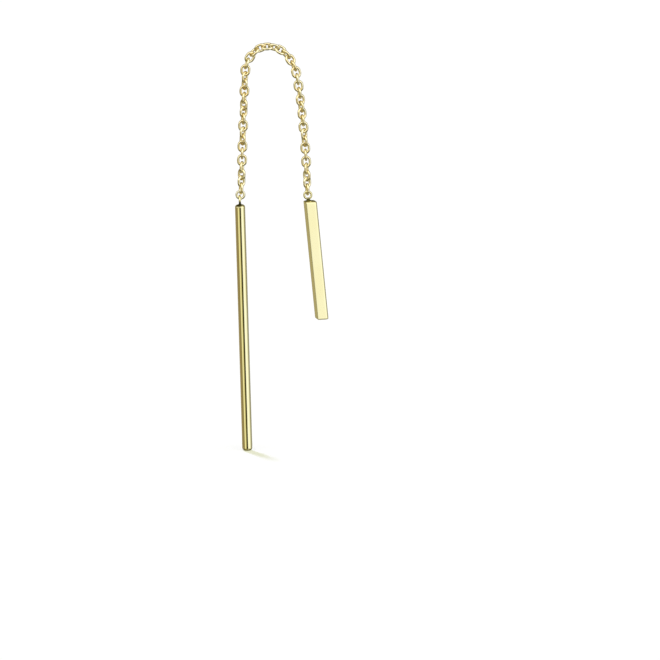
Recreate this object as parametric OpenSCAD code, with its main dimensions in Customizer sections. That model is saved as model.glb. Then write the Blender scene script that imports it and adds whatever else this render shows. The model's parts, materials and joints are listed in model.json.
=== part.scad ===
// Pull-through bar earring: a round post, a cable chain over a crown and a short square bar.
// Millimetres. +Z is up, +X runs from the post towards the bar, and the front faces -Y.
// The origin is on the chain's centre line at the crown, where the chain passes through the ear.

/* [Post] */
// Diameter of the round post
post_d = 1.12; // [1:0.02:1.2]
// Length of the post
post_len = 27.8; // [20:0.1:40]
// Rounding of the post's free end
post_tip_round = 0.35; // [0.1:0.05:0.4]
// Rounding of the post's top edge
post_top_round = 0.3; // [0.1:0.05:0.35]
// Lean of the post's foot towards the bar, in degrees
post_lean = 1.6; // [0:0.1:2]

/* [Short bar] */
// Side of the bar's square section
bar_side = 1.32; // [1.1:0.01:1.35]
// Length of the bar
bar_len = 13.4; // [8:0.1:20]
// Lean of the bar's foot away from the post, in degrees
bar_lean = 5.6; // [0:0.1:7]
// Turn of the bar about its own length, in degrees
bar_turn = 14; // [0:1:30]
// Bevel along the bar's edges
bar_bevel = 0.1; // [0.03:0.01:0.12]
// Distance of the soldered link from the middle of the bar's top
bar_offset = 0.2; // [0:0.02:0.24]

/* [Chain] */
// Diameter of the link wire
wire_d = 0.23; // [0.2:0.01:0.24]
// Width of a link, outside
link_w = 1.1; // [1.02:0.01:1.12]
// Distance from one link's middle to the next
link_pitch = 0.776; // [0.76:0.002:0.84]
// Clear gap between two links along the chain
link_gap = 0.18; // [0.18:0.01:0.2]
// Links from the crown to the post's side
links_post_side = 22; // [14:1:30]
// Links from the crown to the bar's side
links_bar_side = 23; // [14:1:30]

/* [Rings over the post] */
// Outer diameter of the round end ring that carries the post
ring_od = 1.28; // [1.26:0.02:1.4]
// Radius of the wire centre line of the ring soldered on the post
loop_r = 0.45; // [0.4:0.01:0.46]
// Clear gap between the end ring's wire and what passes through it
ring_gap = 0.11; // [0.11:0.01:0.13]

/* [Hidden] */
$fn = 32;

// Route of the chain on each side of the crown: columns are run along the chain and turn in degrees
RUN = 0;
TURN = 1;
POST_SIDE = [[1.8, 47.2], [2.4, 40.2], [12, 1.2], [2, -6.6]];
BAR_SIDE = [[2.4, 50.5], [2.8, 31], [13.5, 7.5]];

// Twist of the chain: columns are the first link of a stretch and the turn that each link there
// adds to the quarter turn between neighbours, in degrees. Link 0 is the round end ring.
FIRST = 0;
EXTRA = 1;
TWIST = [
  [0, 15], [1, 30], [2, 0], [3, 30], [4, 15], [5, 0], [7, 30], [10, 15], [11, 30], [12, 0],
  [13, 30], [14, 15], [15, 30], [18, 7], [31, -15], [33, 0], [35, 15], [37, 30], [40, 0],
  [42, 15], [43, 30], [44, 0], [45, 30], [46, 0]
];
crown_shift = -0.1;
first_link = 1;
last_link = links_post_side + links_bar_side + first_link;
link_len = link_pitch + 2 * wire_d + link_gap;

// Reach from a link's middle to the centre of the wire at its end
link_reach = (link_len - wire_d) / 2;
ring_reach = (ring_od - wire_d) / 2;
next_link = wire_d + link_gap;
next_ring = wire_d + ring_gap;

// Places along the chain, counted from the crown, negative on the post's side
function link_at(i) = (i - first_link - links_post_side) * link_pitch + crown_shift;
ring_at = link_at(first_link) - link_reach + next_ring - ring_reach;
post_pivot_at = ring_at - ring_reach;
bar_pivot_at = link_at(last_link) + link_reach - next_link;

// The soldered ring rests its top on the end ring's wire, and its foot is sunk in the post's top
loop_drop = loop_r - next_ring;
solder_depth = 0.07;
post_drop = loop_drop + loop_r + wire_d / 2 - solder_depth;

// The soldered link's wire is sunk in the bar's top by most of its thickness
link_sink = 0.8 * wire_d;

// The soldered link stands at this angle to the last loose link, in degrees
solder_turn = 104;
bar_drop = link_len - wire_d / 2 - link_sink;

gold = [0.93, 0.84, 0.55];
pale_gold = [0.96, 0.90, 0.66];

// An arc of the route from a place p = [across, down, heading], the heading in degrees below level
function arc_on(p, run, turn) =
  turn == 0 ? [p[0] + run * cos(p[2]), p[1] + run * sin(p[2]), p[2]]
  : let (r = run * 180 / (PI * turn), h = p[2] + turn)
    [p[0] + r * (sin(h) - sin(p[2])), p[1] + r * (cos(p[2]) - cos(h)), h];

// The place at a distance s along the rows of one side
function along(rows, s, p = [0, 0, 0], k = 0) =
  k == len(rows) ? arc_on(p, s, 0)
  : s <= rows[k][RUN] ? arc_on(p, s, rows[k][TURN] * s / rows[k][RUN])
  : along(rows, s - rows[k][RUN], arc_on(p, rows[k][RUN], rows[k][TURN]), k + 1);

// The place on the chain as [x, z, tilt], where tilt turns a link that stands upright
function place(s) =
  s < 0 ? let (p = along(POST_SIDE, -s)) [-p[0], -p[1], 90 - p[2]]
  : let (p = along(BAR_SIDE, s)) [p[0], -p[1], 90 + p[2]];

// How far link i is turned about the chain from lying in the plane of the arch
function extra(i) = [for (row = TWIST) if (row[FIRST] <= i) row[EXTRA]];
function link_turn(i, k = 0) =
  k >= i ? 0 : 90 + extra(k)[len(extra(k)) - 1] + link_turn(i, k + 1);

module at_chain(s) {
  p = place(s);
  translate([p[0], 0, p[1]])
    rotate([0, p[2], 0])
      children();
}

// The hinge points of the post and the bar, with the piece hanging down its own -Z
module hang(s, lean) {
  p = place(s);
  translate([p[0], 0, p[1]])
    rotate([0, -lean, 0])
      children();
}

// Half of an oval link: one straight side and one round end, in the XY plane
module link_half(r, straight) {
  translate([0, straight / 2, 0])
    rotate_extrude(angle = 180)
      translate([r, 0])
        circle(d = wire_d);
  translate([r, 0, 0])
    rotate([90, 0, 0])
      cylinder(d = wire_d, h = straight, center = true);
}

// An oval wire link that stands upright in the XZ plane
module oval_link() {
  r = (link_w - wire_d) / 2;
  rotate([90, 0, 0])
    for (half_turn = [0, 180])
      rotate([0, 0, half_turn])
        link_half(r, link_len - link_w);
}

// A round wire ring about the Y axis
module wire_ring(r) {
  rotate([90, 0, 0])
    rotate_extrude()
      translate([r, 0])
        circle(d = wire_d);
}

// Half the outline of a round rod with rounded ends, from its top at 0 down to -length
module rod_outline(r, length, top_round, tip_round) {
  difference() {
    translate([0, -length])
      square([r, length]);
    corner_cut(r, 0, top_round, 1);
    corner_cut(r, -length, tip_round, -1);
  }
}

// What a rounding takes off the corner at [x, y], with way 1 for an upper corner and -1 for a lower one
module corner_cut(x, y, round, way) {
  over = 0.05;
  translate([x - round, y - way * round])
    scale([1, way])
      difference() {
        square(round + over);
        circle(round);
      }
}

// A box with all twelve edges bevelled, its top face at 0
module bevelled_bar(side, length, bevel) {
  translate([0, 0, -length / 2])
    intersection() {
      linear_extrude(length, center = true)
        bevelled_face(side, side, bevel);
      rotate([90, 0, 0])
        linear_extrude(side, center = true)
          bevelled_face(side, length, bevel);
      rotate([90, 0, 90])
        linear_extrude(side, center = true)
          bevelled_face(side, length, bevel);
    }
}

module bevelled_face(w, h, b) {
  polygon([
    for (q = [[1, 1, 0], [-1, 1, 1], [-1, -1, 0], [1, -1, 1]], first = [0, 1])
      let (cut = (first + q[2]) % 2)
        [q[0] * (w / 2 - b * cut), q[1] * (h / 2 - b * (1 - cut))]
  ]);
}

// The long post and the ring soldered on its top
module post() {
  color(pale_gold)
    hang(post_pivot_at, post_lean) {
      translate([0, 0, -loop_drop])
        rotate([0, 0, 90])
          wire_ring(loop_r);
      translate([0, 0, -post_drop])
        rotate_extrude()
          rod_outline(post_d / 2, post_len, post_top_round, post_tip_round);
    }
}

// The round end ring that holds the post
module post_ring() {
  color(gold)
    at_chain(ring_at)
      wire_ring(ring_reach);
}

// All the oval links, loose in each other
module chain() {
  color(gold)
    for (i = [first_link : last_link])
      at_chain(link_at(i))
        rotate([0, 0, link_turn(i)])
          oval_link();
}

// The short bar and the link soldered on its top
module short_bar() {
  color(pale_gold)
    hang(bar_pivot_at, bar_lean) {
      translate([0, 0, -link_reach])
        rotate([0, 0, link_turn(last_link) + solder_turn])
          oval_link();
      translate([bar_offset, 0, -bar_drop])
        rotate([0, 0, bar_turn])
          bevelled_bar(bar_side, bar_len, bar_bevel);
    }
}

post();
post_ring();
chain();
short_bar();
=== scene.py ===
"""Bar earring: a long round post, a cable chain over a crown and a short square bar, in polished gold."""

import json
import math
import random

import bmesh
import bpy
import numpy as np
from mathutils import Euler, Matrix, Vector


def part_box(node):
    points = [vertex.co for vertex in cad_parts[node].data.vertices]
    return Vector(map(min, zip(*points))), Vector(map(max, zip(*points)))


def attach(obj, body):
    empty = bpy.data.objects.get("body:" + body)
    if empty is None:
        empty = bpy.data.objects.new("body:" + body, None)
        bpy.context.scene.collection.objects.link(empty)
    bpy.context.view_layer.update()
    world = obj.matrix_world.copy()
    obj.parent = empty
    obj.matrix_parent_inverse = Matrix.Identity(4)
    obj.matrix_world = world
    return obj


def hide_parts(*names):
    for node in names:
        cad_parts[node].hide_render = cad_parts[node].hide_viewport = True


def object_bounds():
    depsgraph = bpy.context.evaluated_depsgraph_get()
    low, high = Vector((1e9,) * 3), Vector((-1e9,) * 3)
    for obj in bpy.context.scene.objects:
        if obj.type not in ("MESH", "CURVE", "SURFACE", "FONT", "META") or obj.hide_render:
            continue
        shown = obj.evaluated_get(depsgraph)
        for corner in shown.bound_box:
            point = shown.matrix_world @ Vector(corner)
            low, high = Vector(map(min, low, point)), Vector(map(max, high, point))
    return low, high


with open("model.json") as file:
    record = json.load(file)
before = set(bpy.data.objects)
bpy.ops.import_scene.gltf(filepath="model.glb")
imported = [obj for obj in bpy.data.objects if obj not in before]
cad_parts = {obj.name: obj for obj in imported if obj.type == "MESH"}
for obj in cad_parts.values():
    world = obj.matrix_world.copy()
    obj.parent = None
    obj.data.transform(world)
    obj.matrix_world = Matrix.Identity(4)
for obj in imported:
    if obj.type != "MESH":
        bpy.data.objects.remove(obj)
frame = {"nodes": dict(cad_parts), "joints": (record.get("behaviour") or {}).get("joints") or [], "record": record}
CAD_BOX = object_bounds()

MM = 0.001
SEED = 11

# The photograph: its frame in pixels, the real size of a pixel and where the chain's crown shows
FRAME_PIXELS = 660
PIXEL = 0.11 * MM
CROWN_PIXEL = (268.0, 46.5)
CAMERA_ELEVATION = math.radians(12)
CAMERA_DISTANCE = 1.2
SENSOR_MM = 36

# Chain links, outside sizes. They are a little shorter and thicker than the solids they stand for.
LINK_LENGTH = 1.395 * MM
LINK_WIDTH = 1.10 * MM
LINK_WIRE = 0.28 * MM
LINK_STEPS = 64
WIRE_SIDES = 16

# As shares: how much a link narrows towards its ends, how much links differ in size, and how much
# thicker the wire is at its soldered seam, which fades over the reach
LINK_BOW = 0.10
FORM_VARIATION = 0.006
SEAM_SWELL = 0.035
SEAM_REACH = 0.11 * MM

# The round end ring, between the first link and the post's own ring
RING_RADIUS = 0.425 * MM
RING_WIRE = 0.26 * MM
RING_RISE = -0.025 * MM

# The links next to the end ring hang a little lower than their solids, by one step more for
# each link nearer to the ring
SAG_LINKS = 5
SAG_STEP = 0.014 * MM

# The post, in its own frame: the hinge point is the origin and the post hangs down -Z. Its diameter
# comes from the record's pin mount.
POST_TOP_DROP = 0.605 * MM
POST_LENGTH = 27.8 * MM
POST_TOP_ROUND = 0.3 * MM
POST_TIP_ROUND = 0.35 * MM
POST_INNER_SHARE = 0.3
POST_SIDES = 96
POST_ROWS = 24
POST_TOP_STEPS = 10
POST_TIP_STEPS = 14
POST_RING_RADIUS = 0.42 * MM
POST_RING_DROP = 0.06 * MM
POST_RING_WIRE = 0.24 * MM

# The short bar, in its own frame like the post. Its ends are cut at a slant, and each has rings
# at the inner shares of its size.
BAR_SIDE = 1.30 * MM
BAR_LENGTH = 13.4 * MM
BAR_TURN = math.radians(14)
BAR_TOP_DROP = 1.117 * MM
BAR_OFFSET = 0.20 * MM
BAR_BACK_ROUND = 0.11 * MM
BAR_LEFT_ROUND = 0.05 * MM
BAR_RIGHT_ROUND = 0.32 * MM
BAR_TOP_ROUND = 0.42 * MM
BAR_TOP_FALL = 0.17 * MM
BAR_FOOT_ROUND = 0.16 * MM
BAR_CROWN = 0.004 * MM
BAR_SLANT = 0.09
BAR_ROWS = 16
BAR_TOP_STEPS = 12
BAR_FOOT_STEPS = 6
BAR_FACE_STEPS = 10
BAR_CORNER_STEPS = 8
BAR_INNER_SHARES = (0.15, 0.4, 0.65)
BAR_LINK_LENGTH = 1.05 * MM
BAR_LINK_WIDTH = 1.02 * MM
BAR_LINK_WIRE = 0.24 * MM
BAR_LINK_DROP = 0.465 * MM

# The soldered ring and link are finer meshed than the chain
SOLDERED_STEPS = 80
SOLDERED_SIDES = 20

# Solder mounds: half their size in X and in Y, their height and how deep they are sunk
POST_MOUND = (0.24 * MM, 0.36 * MM, 0.16 * MM, 0.05 * MM)
BAR_MOUND = (0.36 * MM, 0.24 * MM, 0.2 * MM, 0.12 * MM)
MOUND_SIDES = 32
MOUND_STEPS = 6
MOUND_NARROWING = 0.55
MOUND_HOLLOW = 1.8

# Where solder dulls the gold and a near-black painted shade darkens it: two places on the post's top, front and
# back, and one on the bar's
POST_SOLDER_AND_SHADE_OUT = 0.38 * MM
POST_SOLDER_AND_SHADE_ASIDE = 0.08 * MM
POST_SOLDER_AND_SHADE_DROP = 0.53 * MM
SOLDER_AND_SHADE_REACH = 0.50 * MM

# Solids are united in millimetres, because the union is too coarse for a part this small in metres
ENLARGED = 1 / MM

# Points of a solid nearer than this are one point, in metres
WELD = 1e-7
SORT_DIGITS = 9


def set_camera():
    """The camera stands in front of the earring and looks down at it a little, as the photograph does."""
    sin_e = math.sin(CAMERA_ELEVATION)
    cos_e = math.cos(CAMERA_ELEVATION)
    toward = Vector((0, -cos_e, sin_e))
    up = Vector((0, sin_e, cos_e))
    right = Vector((1, 0, 0))
    half = FRAME_PIXELS / 2
    centre = right * (half - CROWN_PIXEL[0]) * PIXEL - up * (half - CROWN_PIXEL[1]) * PIXEL
    data = bpy.data.cameras.new("camera")
    data.sensor_width = SENSOR_MM
    data.lens = SENSOR_MM * CAMERA_DISTANCE / (FRAME_PIXELS * PIXEL)
    camera = bpy.data.objects.new("camera", data)
    camera.location = centre + toward * CAMERA_DISTANCE
    camera.rotation_euler = Euler((math.pi / 2 - CAMERA_ELEVATION, 0, 0))
    bpy.context.scene.collection.objects.link(camera)
    bpy.context.scene.camera = camera


def node(tree, kind, **settings):
    """A new node with its properties and its sockets' values set by name."""
    made = tree.nodes.new(kind)
    for key, value in settings.items():
        if hasattr(made, key):
            setattr(made, key, value)
        else:
            made.inputs[key].default_value = value
    return made


def connect(tree, value, socket):
    """Feeds a socket from a link or sets it to a plain value."""
    if isinstance(value, bpy.types.NodeSocket):
        tree.links.new(value, socket)
    else:
        socket.default_value = value


def math_node(tree, operation, *values, clamp=False):
    """A Math node over links or plain numbers."""
    made = node(tree, "ShaderNodeMath", operation=operation)
    made.use_clamp = clamp
    for socket, value in zip(made.inputs, values):
        connect(tree, value, socket)
    return made.outputs[0]


def ramp_node(tree, factor, stops):
    """A smooth colour ramp over (position, colour) stops."""
    made = tree.nodes.new("ShaderNodeValToRGB")
    ramp = made.color_ramp
    ramp.interpolation = "EASE"
    while len(ramp.elements) > 1:
        ramp.elements.remove(ramp.elements[-1])
    ramp.elements[0].position = stops[0][0]
    ramp.elements[0].color = (*stops[0][1], 1)
    for position, colour in stops[1:]:
        ramp.elements.new(position).color = (*colour, 1)
    tree.links.new(factor, made.inputs[0])
    return made.outputs[0]


def mix_colour(tree, factor, first, second):
    """A colour Mix node over links or plain values. Its colour sockets are numbers 6 and 7."""
    made = tree.nodes.new("ShaderNodeMix")
    made.data_type = "RGBA"
    connect(tree, factor, made.inputs[0])
    connect(tree, first, made.inputs[6])
    connect(tree, second, made.inputs[7])
    return made.outputs[2]


def nearness(tree, coord, place, reach):
    """How far a point lies from a place, as a share of the reach."""
    apart = node(tree, "ShaderNodeVectorMath", operation="DISTANCE")
    tree.links.new(coord, apart.inputs[0])
    apart.inputs[1].default_value = place
    return math_node(tree, "DIVIDE", apart.outputs["Value"], reach)


# What polished gold mirrors, by direction around the earring: degrees from the front towards +X
AROUND = [
    (-180, (0.13, 0.125, 0.06)),
    (-168, (0.15, 0.14, 0.07)),
    (-158, (0.42, 0.375, 0.215)),
    (-148, (0.40, 0.355, 0.20)),
    (-112, (0.30, 0.24, 0.16)),
    (-62, (0.27, 0.225, 0.10)),
    (-47, (0.90, 0.86, 0.60)),
    (-33, (0.90, 0.86, 0.60)),
    (-22, (0.58, 0.54, 0.32)),
    (-12, (0.32, 0.30, 0.15)),
    (-5, (0.03, 0.027, 0.003)),
    (16, (0.02, 0.018, 0.002)),
    (24.5, (0.98, 0.985, 0.97)),
    (34, (1.0, 1.005, 0.99)),
    (46, (1.12, 1.14, 1.18)),
    (64, (1.02, 1.03, 1.04)),
    (82, (0.86, 0.87, 0.86)),
    (96, (0.36, 0.35, 0.29)),
    (112, (0.30, 0.29, 0.24)),
    (150, (0.40, 0.40, 0.37)),
    (168, (0.15, 0.14, 0.07)),
    (180, (0.13, 0.125, 0.06)),
]

# The same for what is overhead, by tilt: degrees from the front over the top to the back
OVER = [
    (0, (1.56, 1.54, 1.46)),
    (64, (1.56, 1.54, 1.46)),
    (92, (0.36, 0.32, 0.20)),
    (140, (0.22, 0.19, 0.10)),
    (180, (0.13, 0.125, 0.06)),
]

# It fades in between these two heights over level, in degrees, up to this share
OVER_FROM = -3
OVER_TO = 9
OVER_SHARE = 0.72

# Dim ground below level: its colour, and the share it takes by height in degrees
BELOW = (0.16, 0.145, 0.06)
BELOW_BAND = [(-90, 0.65), (-62, 0.55), (-50, 0.95), (-34, 0.95), (-22, 0.0)]


def make_world():
    """A soft studio: bright boards at both sides and overhead, and dark in front, behind and below."""
    world = bpy.data.worlds.new("studio")
    bpy.context.scene.world = world
    world.use_nodes = True
    tree = world.node_tree
    tree.nodes.clear()
    coord = tree.nodes.new("ShaderNodeTexCoord")
    parts = tree.nodes.new("ShaderNodeSeparateXYZ")
    tree.links.new(coord.outputs["Generated"], parts.inputs[0])
    x, y, z = parts.outputs
    front = math_node(tree, "MULTIPLY", y, -1.0)
    angle = math_node(tree, "ARCTAN2", x, front)
    turn = math_node(tree, "MULTIPLY_ADD", angle, 0.5 / math.pi, 0.5)
    around = ramp_node(tree, turn, [((a + 180) / 360, c) for a, c in AROUND])
    rise = math_node(tree, "ARCSINE", z)
    height = math_node(tree, "MULTIPLY_ADD", rise, 1 / math.pi, 0.5)
    tilt = math_node(tree, "ARCTAN2", z, front)
    over = math_node(tree, "MULTIPLY", tilt, 1 / math.pi, clamp=True)
    top = ramp_node(tree, over, [(a / 180, c) for a, c in OVER])

    def by_height(rows):
        return ramp_node(tree, height, [(a / 180 + 0.5, (share, share, share)) for a, share in rows])

    upper = mix_colour(tree, by_height([(OVER_FROM, 0.0), (OVER_TO, OVER_SHARE)]), around, top)
    whole = mix_colour(tree, by_height(BELOW_BAND), upper, (*BELOW, 1))
    shade = tree.nodes.new("ShaderNodeBackground")
    tree.links.new(whole, shade.inputs[0])
    out = tree.nodes.new("ShaderNodeOutputWorld")
    tree.links.new(shade.outputs[0], out.inputs[0])


# The floor lies just under the post's tip. Near the post it is matt, to take the shadow, and a painted
# glow, dim and yellowish at the core, rises to an even white between the core and the reach: painted light that
# tints the shadow and fades it out.
FLOOR_LEVEL = CAD_BOX[0].z - 0.01 * MM
FLOOR_REACH = 2.0
FLOOR_SEGMENTS = 64
FLOOR_NEAR = (0.40, 0.40, 0.40)
FLOOR_FAR = (0, 0, 0)
# Dim yellowish glow round the foot: painted light that tints the shadow there
PAINTED_FOOT_GLOW = (0.50, 0.52, 0.38)
GLOW_FAR = (1.03, 1.03, 1.03)
SHADOW_FOOT = (-2.3 * MM, 0, 0)
SHADOW_REACH = 8.0 * MM
SHADOW_CORE = 0.25
BACKDROP_REACH = 2.2
BACKDROP_SEGMENTS = 48
BACKDROP_RINGS = 24
MATT_ROUGHNESS = 0.9

# One soft light behind the earring on the left
SUN_STRENGTH = 4.1
SUN_COLOUR = (0.60, 0.58, 1.0)
SUN_SPREAD = math.radians(9)
SUN_HEIGHT = math.radians(50)
SHADOW_DIRECTION = (0.55, -0.835, 0)


def glow_material(name):
    """An even white glow, the same under any light."""
    material = bpy.data.materials.new(name)
    material.use_nodes = True
    shader = material.node_tree.nodes["Principled BSDF"]
    shader.inputs["Base Color"].default_value = (0, 0, 0, 1)
    shader.inputs["Roughness"].default_value = MATT_ROUGHNESS
    shader.inputs["Specular IOR Level"].default_value = 0.0
    shader.inputs["Emission Color"].default_value = (1, 1, 1, 1)
    shader.inputs["Emission Strength"].default_value = 1.0
    return material


def floor_material():
    """Matt white round the post's foot, where its shadow falls, with a painted glow that is dim and yellowish
    there and rises into an even white, so the shadow is tinted and fades out.
    """
    material = glow_material("floor_white")
    tree = material.node_tree
    shader = tree.nodes["Principled BSDF"]
    coord = tree.nodes.new("ShaderNodeTexCoord").outputs["Object"]
    far = nearness(tree, coord, SHADOW_FOOT, SHADOW_REACH)
    matt = ramp_node(tree, far, [(SHADOW_CORE, FLOOR_NEAR), (1.0, FLOOR_FAR)])
    # Painted light: the glow tints the shadow near the foot and washes it out towards the reach
    painted_fade_glow = ramp_node(tree, far, [(SHADOW_CORE, PAINTED_FOOT_GLOW), (1.0, GLOW_FAR)])
    tree.links.new(matt, shader.inputs["Base Color"])
    tree.links.new(painted_fade_glow, shader.inputs["Emission Color"])
    return material


def add_mesh(name, form, material):
    """Turns a bmesh into a named object of one material."""
    mesh = bpy.data.meshes.new(name)
    form.to_mesh(mesh)
    form.free()
    mesh.materials.append(material)
    made = bpy.data.objects.new(name, mesh)
    bpy.context.scene.collection.objects.link(made)
    return made


def make_studio():
    """White floor under the post's tip, a plain white backdrop and one soft light."""
    form = bmesh.new()
    bmesh.ops.create_circle(form, cap_ends=True, segments=FLOOR_SEGMENTS, radius=FLOOR_REACH)
    floor = add_mesh("floor", form, floor_material())
    floor.location = (0, 0, FLOOR_LEVEL)
    floor.visible_glossy = False
    form = bmesh.new()
    bmesh.ops.create_uvsphere(
        form, u_segments=BACKDROP_SEGMENTS, v_segments=BACKDROP_RINGS, radius=BACKDROP_REACH
    )
    backdrop = add_mesh("backdrop", form, glow_material("backdrop_white"))
    backdrop.visible_glossy = False
    backdrop.visible_diffuse = False
    backdrop.visible_shadow = False
    backdrop.visible_transmission = False
    data = bpy.data.lights.new("soft_light", "SUN")
    data.energy = SUN_STRENGTH
    data.color = SUN_COLOUR
    data.angle = SUN_SPREAD
    light = bpy.data.objects.new("soft_light", data)
    light.visible_glossy = False
    flat = Vector(SHADOW_DIRECTION).normalized() * math.cos(SUN_HEIGHT)
    ray = flat - Vector((0, 0, math.sin(SUN_HEIGHT)))
    light.rotation_euler = ray.to_track_quat("-Z", "Y").to_euler()
    bpy.context.scene.collection.objects.link(light)


# Golds: the paler and the deeper of the two colours that drift into each other, and painted shade at the solder
PALE_GOLD = (0.99, 0.93, 0.57)
WARM_GOLD = (0.98, 0.91, 0.53)
CHAIN_PALE = (1.0, 0.93, 0.65)
CHAIN_DEEP = (1.0, 0.87, 0.53)
# The end ring's two golds are whiter than the chain's: a painted reflection of the white floor, which the gold
# does not mirror
RING_PALE_PAINTED_REFLECTION = (1.0, 0.97, 0.82)
RING_DEEP_PAINTED_REFLECTION = (0.98, 0.93, 0.70)
# Near-black, not the colour of solder: painted shade and dark reflection where the post's ring and the bar's link
# are soldered on
SOLDER_PAINTED_SHADE = (0.075, 0.066, 0.006)

# Noise scales, per metre: the drift of the colour, and the streaks in X, Y and Z
POLISHED_GRAIN = 260.0
POLISHED_STREAK = (2600, 2600, 130)
WIRE_GRAIN = 900.0
WIRE_STREAK = (1500, 1500, 1500)
GRAIN_DETAIL = 3.0
STREAK_DETAIL = 4.0

# The stretch of the noise over which one colour turns into the other
GRAIN_FROM = 0.35
GRAIN_TO = 0.65

# Least roughness, and what the streaks add to it
POLISHED_GLOSS = 0.04
POLISHED_WEAR = 0.06
WIRE_GLOSS = 0.08
WIRE_WEAR = 0.07

# Relief of the streaks: its strength and its height in metres
RELIEF_STRENGTH = 0.25
RELIEF_HEIGHT = 0.4e-6

# Solder places: the share of their reach at full strength, how much of the near-black painted shade
# shows and how much roughness the solder adds
SOLDER_AND_SHADE_CORE = 0.40
PAINTED_SHADE_SHARE = 0.97
SOLDER_ROUGH = 0.16


def gold_material(name, pale, deep, grain, streak, gloss, wear, solder=()):
    """Polished gold. The colour drifts a little, the polish has fine streaks, and solder is duller and carries a
    painted shade.

    grain and streak are noise scales. gloss is the least roughness and wear is what the streaks add
    to it. solder holds the middle of each soldered place, where the gold is duller and painted near-black as
    shade.
    """
    material = bpy.data.materials.new(name)
    material.use_nodes = True
    tree = material.node_tree
    shader = tree.nodes["Principled BSDF"]
    shader.inputs["Metallic"].default_value = 1.0
    coord = tree.nodes.new("ShaderNodeTexCoord").outputs["Object"]
    clouds = node(tree, "ShaderNodeTexNoise", Scale=grain, Detail=GRAIN_DETAIL)
    tree.links.new(coord, clouds.inputs["Vector"])
    colour = ramp_node(tree, clouds.outputs[0], [(GRAIN_FROM, deep), (GRAIN_TO, pale)])
    mapping = node(tree, "ShaderNodeMapping", Scale=streak)
    tree.links.new(coord, mapping.inputs["Vector"])
    fine = node(tree, "ShaderNodeTexNoise", Scale=1.0, Detail=STREAK_DETAIL)
    tree.links.new(mapping.outputs[0], fine.inputs["Vector"])
    rough = math_node(tree, "MULTIPLY_ADD", fine.outputs[0], wear, gloss)
    # Each solder place adds roughness and mixes in the near-black painted shade
    for place in solder:
        near = nearness(tree, coord, place, SOLDER_AND_SHADE_REACH)
        solder_and_shade_mask = ramp_node(tree, near, [(SOLDER_AND_SHADE_CORE, (1, 1, 1)), (1.0, (0, 0, 0))])
        rough = math_node(tree, "MULTIPLY_ADD", solder_and_shade_mask, SOLDER_ROUGH, rough)
        share = math_node(tree, "MULTIPLY", solder_and_shade_mask, PAINTED_SHADE_SHARE)
        colour = mix_colour(tree, share, colour, (*SOLDER_PAINTED_SHADE, 1))
    bump = node(tree, "ShaderNodeBump", Strength=RELIEF_STRENGTH, Distance=RELIEF_HEIGHT)
    tree.links.new(fine.outputs[0], bump.inputs["Height"])
    tree.links.new(colour, shader.inputs["Base Color"])
    tree.links.new(rough, shader.inputs["Roughness"])
    tree.links.new(bump.outputs[0], shader.inputs["Normal"])
    return material


def polished_gold(name, solder):
    """Mirror polish with streaks along the piece, for the post and the bar."""
    finish = (POLISHED_GRAIN, POLISHED_STREAK, POLISHED_GLOSS, POLISHED_WEAR)
    return gold_material(name, PALE_GOLD, WARM_GOLD, *finish, solder)


def wire_gold(name, pale, deep):
    """Softer polish without a direction, for the chain and its end ring."""
    return gold_material(name, pale, deep, WIRE_GRAIN, WIRE_STREAK, WIRE_GLOSS, WIRE_WEAR)


def add_piece(name, form, material):
    """Turns a bmesh into a smooth, closed, named object."""
    bmesh.ops.recalc_face_normals(form, faces=form.faces)
    made = add_mesh(name, form, material)
    made.data.shade_smooth()
    return made


def circle(sides):
    """Cosine and sine at even steps round a circle."""
    turns = [2 * math.pi * k / sides for k in range(sides)]
    return [(math.cos(a), math.sin(a)) for a in turns]


def oval_points(length, width, wire, steps, bow=0.0):
    """Centre line of an oval link as (place, outward) pairs in its plane. A bow narrows its ends."""
    r = (width - wire) / 2
    straight = length - width
    whole = 2 * math.pi * r + 2 * straight
    points = []
    for k in range(steps):
        run = (k + 0.5) / steps * whole
        half, run = divmod(run, whole / 2)
        if run < straight:
            place = Vector((r, run - straight / 2))
            outward = Vector((1, 0))
        else:
            turn = (run - straight) / r
            outward = Vector((math.cos(turn), math.sin(turn)))
            place = outward * r + Vector((0, straight / 2))
        place.x *= 1 - bow * (2 * place.y / (length - wire)) ** 2
        if half:
            place = -place
            outward = -outward
        points.append((place, outward))
    return points


def add_wire_loop(form, points, matrix, wire, sides=WIRE_SIDES, seam=None):
    """A closed loop of round wire. matrix takes the loop's plane XY and its normal Z to the frame."""
    rings = []
    for place, outward in points:
        r = wire / 2
        if seam is not None:
            near = (place - seam).length / SEAM_REACH
            r *= 1 + SEAM_SWELL * math.exp(-near * near)
        ring = []
        for cos_a, sin_a in circle(sides):
            out = outward * (r * cos_a)
            spot = Vector((place.x + out.x, place.y + out.y, r * sin_a))
            ring.append(form.verts.new(matrix @ spot))
        rings.append(ring)
    bridge(form, rings, closed=True)


def bridge(form, rings, closed=False):
    """Joins each ring of points to the next with four-sided faces."""
    pairs = list(zip(rings, rings[1:]))
    if closed:
        pairs.append((rings[-1], rings[0]))
    for one, two in pairs:
        for k in range(len(one)):
            j = (k + 1) % len(one)
            form.faces.new((one[k], one[j], two[j], two[k]))


def cap(form, ring, point):
    """Closes a ring with a fan to one point. The normals are set right when the form is whole."""
    top = form.verts.new(point)
    for k in range(len(ring)):
        form.faces.new((ring[k], ring[(k + 1) % len(ring)], top))


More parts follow.
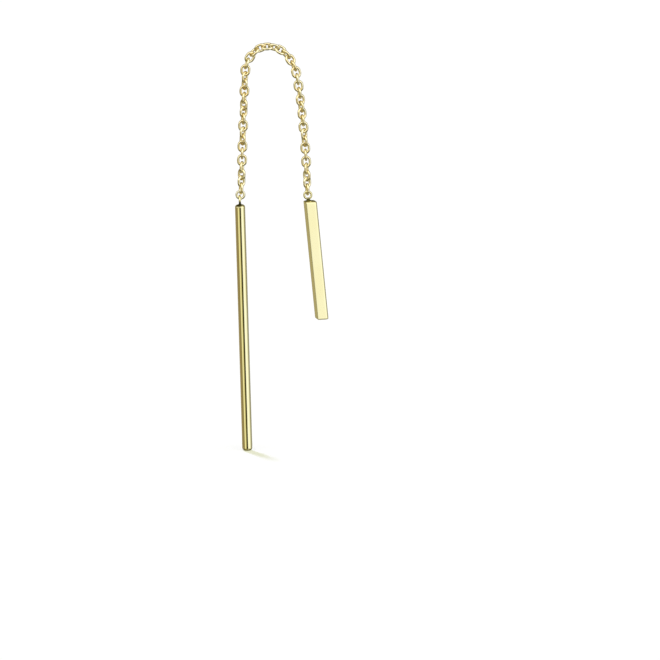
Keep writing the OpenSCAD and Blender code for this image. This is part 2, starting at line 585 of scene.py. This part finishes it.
def link_places(name):
    """The middle of each loose solid of a node, and its axes across and along."""
    form = bmesh.new()
    form.from_mesh(frame["nodes"][name].data)
    bmesh.ops.remove_doubles(form, verts=form.verts, dist=WELD)
    seen = set()
    places = []
    for start in form.verts:
        if start in seen:
            continue
        seen.add(start)
        island = []
        todo = [start]
        while todo:
            vert = todo.pop()
            island.append(vert)
            for edge in vert.link_edges:
                other = edge.other_vert(vert)
                if other not in seen:
                    seen.add(other)
                    todo.append(other)
        faces = {face for vert in island for face in vert.link_faces}
        weights = np.array([face.calc_area() for face in faces])
        middles = np.array([face.calc_center_median() for face in faces])
        # A set has no fixed order, so the faces are sorted for the sums to come out the same each time
        order = np.lexsort(middles.round(SORT_DIGITS).T)
        weights = weights[order]
        middles = middles[order]
        centre = (weights[:, None] * middles).sum(0) / weights.sum()
        off = middles - centre
        moments = (off * weights[:, None]).T @ off
        _, axes = np.linalg.eigh(moments)
        places.append((centre, axes[:, 1], axes[:, 2]))
    form.free()
    return places


def chain_order(places):
    """The links in their order along the chain, from the post's ring on."""
    low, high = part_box("post_ring")
    last = np.array((low + high) / 2)
    left = list(places)
    ordered = []
    while left:
        nearest = min(range(len(left)), key=lambda k: np.linalg.norm(left[k][0] - last))
        last = left[nearest][0]
        ordered.append(left.pop(nearest))
    return ordered


def frame_matrix(centre, x_axis, y_axis):
    """The matrix that takes a flat loop's X, Y and Z to these axes at this middle."""
    x = Vector(x_axis).normalized()
    y = Vector(y_axis)
    y = (y - x * y.dot(x)).normalized()
    z = x.cross(y)
    matrix = Matrix((x, y, z)).transposed().to_4x4()
    matrix.translation = Vector(centre)
    return matrix


def make_chain(material):
    """All the loose oval links, each laid on the solid it stands for, with a soldered seam in one side."""
    rng = random.Random(SEED)
    form = bmesh.new()
    for k, (centre, across, along) in enumerate(chain_order(link_places("chain"))):
        # A solid's axes may come with either sign, so both are turned to one side
        if along[2] < 0:
            along = -along
        if across[0] + across[1] < 0:
            across = -across
        centre = centre - along * SAG_STEP * max(0, SAG_LINKS - k)
        length = LINK_LENGTH * (1 + rng.uniform(-1, 1) * FORM_VARIATION)
        width = LINK_WIDTH * (1 + rng.uniform(-1, 1) * FORM_VARIATION)
        side = rng.choice((-1, 1))
        seam = Vector((side * (width - LINK_WIRE) / 2, 0))
        points = oval_points(length, width, LINK_WIRE, LINK_STEPS, LINK_BOW)
        add_wire_loop(form, points, frame_matrix(centre, across, along), LINK_WIRE, seam=seam)
    return add_piece("chain_links", form, material)


def make_end_ring(material):
    """The round ring at the chain's end, which holds the post's ring."""
    form = bmesh.new()
    low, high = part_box("post_ring")
    centre = (low + high) / 2 + Vector((0, 0, RING_RISE))
    size = 2 * RING_RADIUS + RING_WIRE
    points = oval_points(size, size, RING_WIRE, LINK_STEPS)
    seam = Vector((RING_RADIUS, 0))
    matrix = frame_matrix(centre, (1, 0, 0), (0, 0, 1))
    add_wire_loop(form, points, matrix, RING_WIRE, seam=seam)
    return add_piece("end_ring", form, material)


def hang_matrix(child):
    """The frame of a hanging body: its origin is the hinge point and it hangs down its own -Z."""
    joint = next(j for j in frame["joints"] if j["child"] == child)
    axis = Vector(joint["axis"])
    y = Vector((0, 1, 0))
    z = Vector((-axis.z, 0, axis.x)).normalized()
    matrix = Matrix((y.cross(z), y, z)).transposed().to_4x4()
    matrix.translation = Vector(joint["pos_m"])
    return matrix


def arc(centre, radius, start, end, steps):
    """Points of an arc from one angle to another, in degrees."""
    made = []
    for k in range(steps + 1):
        a = math.radians(start + (end - start) * k / steps)
        made.append((centre[0] + radius * math.cos(a), centre[1] + radius * math.sin(a)))
    return made


def add_lathe(form, profile, sides):
    """A turned form about Z from (radius, height) points. It is closed by a fan at both ends."""
    rings = []
    for radius, height in profile:
        spots = [Vector((radius * cos_a, radius * sin_a, height)) for cos_a, sin_a in circle(sides)]
        rings.append([form.verts.new(spot) for spot in spots])
    bridge(form, rings)
    cap(form, rings[0], (0, 0, profile[0][1]))
    cap(form, rings[-1], (0, 0, profile[-1][1]))


def add_mound(form, place, half_x, half_y, height, depth):
    """Solder round a foot: a low mound with hollow flanks on a flat top, sunk a little into it."""
    rings = []
    rows = [(1.0, -depth)]
    for k in range(MOUND_STEPS + 1):
        t = k / MOUND_STEPS
        rows.append((1.0 - MOUND_NARROWING * t, height * t ** MOUND_HOLLOW))
    for scale, rise in rows:
        ring = []
        for cos_a, sin_a in circle(MOUND_SIDES):
            spot = Vector((half_x * scale * cos_a, half_y * scale * sin_a, rise))
            ring.append(form.verts.new(place + spot))
        rings.append(ring)
    bridge(form, rings)
    cap(form, rings[0], place - Vector((0, 0, depth)))
    cap(form, rings[-1], place + Vector((0, 0, height)))


def scaled(form, factor):
    """The form itself, scaled about the origin."""
    bmesh.ops.scale(form, vec=(factor, factor, factor), verts=form.verts)
    return form


def united(forms):
    """One closed form out of several that overlap."""
    objects = []
    for k, form in enumerate(forms):
        bmesh.ops.recalc_face_normals(form, faces=form.faces)
        mesh = bpy.data.meshes.new(f"part_{k}")
        scaled(form, ENLARGED).to_mesh(mesh)
        form.free()
        made = bpy.data.objects.new(f"part_{k}", mesh)
        bpy.context.scene.collection.objects.link(made)
        objects.append(made)
    first = objects[0]
    for other in objects[1:]:
        union = first.modifiers.new("union", "BOOLEAN")
        union.operation = "UNION"
        union.solver = "EXACT"
        union.object = other
    shown = first.evaluated_get(bpy.context.evaluated_depsgraph_get())
    whole = bmesh.new()
    whole.from_mesh(shown.to_mesh())
    shown.to_mesh_clear()
    for item in objects:
        mesh = item.data
        bpy.data.objects.remove(item)
        bpy.data.meshes.remove(mesh)
    return scaled(whole, 1 / ENLARGED)


def make_post():
    """The long round post with the wire ring that is soldered on its top."""
    pin = next(m for m in frame["record"]["mounts"] if m["name"] == "post_pin")
    r = pin["dims"]["r_mm"] * MM
    top = -POST_TOP_DROP
    foot = top - POST_LENGTH
    straight = POST_LENGTH - POST_TOP_ROUND - POST_TIP_ROUND
    top_arc = (r - POST_TOP_ROUND, top - POST_TOP_ROUND)
    tip_arc = (r - POST_TIP_ROUND, foot + POST_TIP_ROUND)
    profile = [(r * POST_INNER_SHARE, top)]
    profile += arc(top_arc, POST_TOP_ROUND, 90, 0, POST_TOP_STEPS)
    for k in range(1, POST_ROWS):
        profile.append((r, top - POST_TOP_ROUND - k / POST_ROWS * straight))
    profile += arc(tip_arc, POST_TIP_ROUND, 0, -90, POST_TIP_STEPS)
    rod = bmesh.new()
    add_lathe(rod, profile, POST_SIDES)
    size = 2 * POST_RING_RADIUS + POST_RING_WIRE
    ring = bmesh.new()
    points = oval_points(size, size, POST_RING_WIRE, SOLDERED_STEPS)
    place = frame_matrix((0, 0, -POST_RING_DROP), (0, 1, 0), (0, 0, 1))
    add_wire_loop(ring, points, place, POST_RING_WIRE, SOLDERED_SIDES)
    solder = bmesh.new()
    add_mound(solder, Vector((0, 0, top)), *POST_MOUND)
    whole = united((rod, ring, solder))
    matrix = hang_matrix("post")
    bmesh.ops.transform(whole, matrix=matrix, verts=whole.verts)
    # Solder places on the post's top, front and back: duller gold with painted shade on the rim and neck
    spots = []
    for way in (-1, 1):
        spot = Vector((way * POST_SOLDER_AND_SHADE_ASIDE, way * POST_SOLDER_AND_SHADE_OUT, -POST_SOLDER_AND_SHADE_DROP))
        spots.append(matrix @ spot)
    return add_piece("long_post", whole, polished_gold("post_gold", spots))


def square_section(half, corners, crown):
    """A square with rounded corners and faces that are a hair fuller in the middle."""
    points = []
    for quarter, corner in enumerate(corners):
        turn = Matrix.Rotation(quarter * math.pi / 2, 2)
        start = -half + corners[quarter - 1]
        end = half - corner
        for k in range(BAR_FACE_STEPS):
            t = start + (end - start) * k / BAR_FACE_STEPS
            bulge = crown * (1 - (t / half) ** 2)
            points.append(turn @ Vector((half - crown + bulge, t)))
        for k in range(BAR_CORNER_STEPS):
            a = k / BAR_CORNER_STEPS * math.pi / 2
            out = (corner - crown) * Vector((math.cos(a), math.sin(a)))
            points.append(turn @ (Vector((half - corner, half - corner)) + out))
    return points


def end_rows(rounding, fall, steps):
    """(distance from the end, how far the section is drawn in) down an oval-rounded end."""
    rows = []
    for k in range(steps + 1):
        a = k / steps * math.pi / 2
        rows.append((fall * (1 - math.sin(a)), rounding * (1 - math.cos(a))))
    return rows[::-1]


def bar_rows():
    """(height, scale of the section) down the bar, from inside its top face to inside its foot."""
    half = BAR_SIDE / 2
    top_scale = (half - BAR_TOP_ROUND) / half
    foot_scale = (half - BAR_FOOT_ROUND) / half
    span = BAR_LENGTH - BAR_TOP_FALL - BAR_FOOT_ROUND
    rows = [(0.0, top_scale * share) for share in BAR_INNER_SHARES]
    for depth, inset in end_rows(BAR_TOP_ROUND, BAR_TOP_FALL, BAR_TOP_STEPS):
        rows.append((-depth, (half - inset) / half))
    for k in range(1, BAR_ROWS):
        rows.append((-BAR_TOP_FALL - span * k / BAR_ROWS, 1.0))
    for depth, inset in reversed(end_rows(BAR_FOOT_ROUND, BAR_FOOT_ROUND, BAR_FOOT_STEPS)):
        rows.append((depth - BAR_LENGTH, (half - inset) / half))
    rows += [(-BAR_LENGTH, foot_scale * share) for share in reversed(BAR_INNER_SHARES)]
    return rows


def make_bar():
    """The short square bar with the oval link that is soldered on its top. Both ends slant a little."""
    place = Matrix.Translation((BAR_OFFSET, 0, -BAR_TOP_DROP)) @ Matrix.Rotation(BAR_TURN, 4, "Z")
    corners = (BAR_BACK_ROUND, BAR_BACK_ROUND, BAR_LEFT_ROUND, BAR_RIGHT_ROUND)
    section = square_section(BAR_SIDE / 2, corners, BAR_CROWN)
    bar = bmesh.new()
    rings = []
    for height, scale in bar_rows():
        ring = []
        for point in section:
            p = point * scale
            ring.append(bar.verts.new(place @ Vector((p.x, p.y, height - BAR_SLANT * p.x))))
        rings.append(ring)
    bridge(bar, rings)
    cap(bar, rings[0], place @ Vector((0, 0, 0)))
    cap(bar, rings[-1], place @ Vector((0, 0, -BAR_LENGTH)))
    link = bmesh.new()
    points = oval_points(BAR_LINK_LENGTH, BAR_LINK_WIDTH, BAR_LINK_WIRE, SOLDERED_STEPS)
    link_place = frame_matrix((0, 0, -BAR_LINK_DROP), (1, 0, 0), (0, 0, 1))
    add_wire_loop(link, points, link_place, BAR_LINK_WIRE, SOLDERED_SIDES)
    solder = bmesh.new()
    soldered_at = Vector((0, 0, -BAR_TOP_DROP))
    add_mound(solder, soldered_at, *BAR_MOUND)
    whole = united((bar, link, solder))
    matrix = hang_matrix("short_bar")
    bmesh.ops.transform(whole, matrix=matrix, verts=whole.verts)
    # The solder place at the link's foot: duller gold with painted shade there
    return add_piece("square_bar", whole, polished_gold("bar_gold", [matrix @ soldered_at]))


set_camera()
make_world()
make_studio()
chain = make_chain(wire_gold("chain_gold", CHAIN_PALE, CHAIN_DEEP))
# The end ring's whiter gold is a painted reflection of the white floor
end_ring = make_end_ring(wire_gold("ring_gold_painted_reflection", RING_PALE_PAINTED_REFLECTION, RING_DEEP_PAINTED_REFLECTION))
post = make_post()
bar = make_bar()

for piece, body, replaced, slot in (
    (chain, "chain", "chain", "chain_gold"),
    (end_ring, "chain", "post_ring", "chain_gold"),
    (post, "post", "post", "polished_gold"),
    (bar, "short_bar", "short_bar", "polished_gold"),
):
    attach(piece, body)
    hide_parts(replaced)

bpy.context.scene.view_settings.view_transform = "Standard"
bpy.context.scene.view_settings.look = "None"
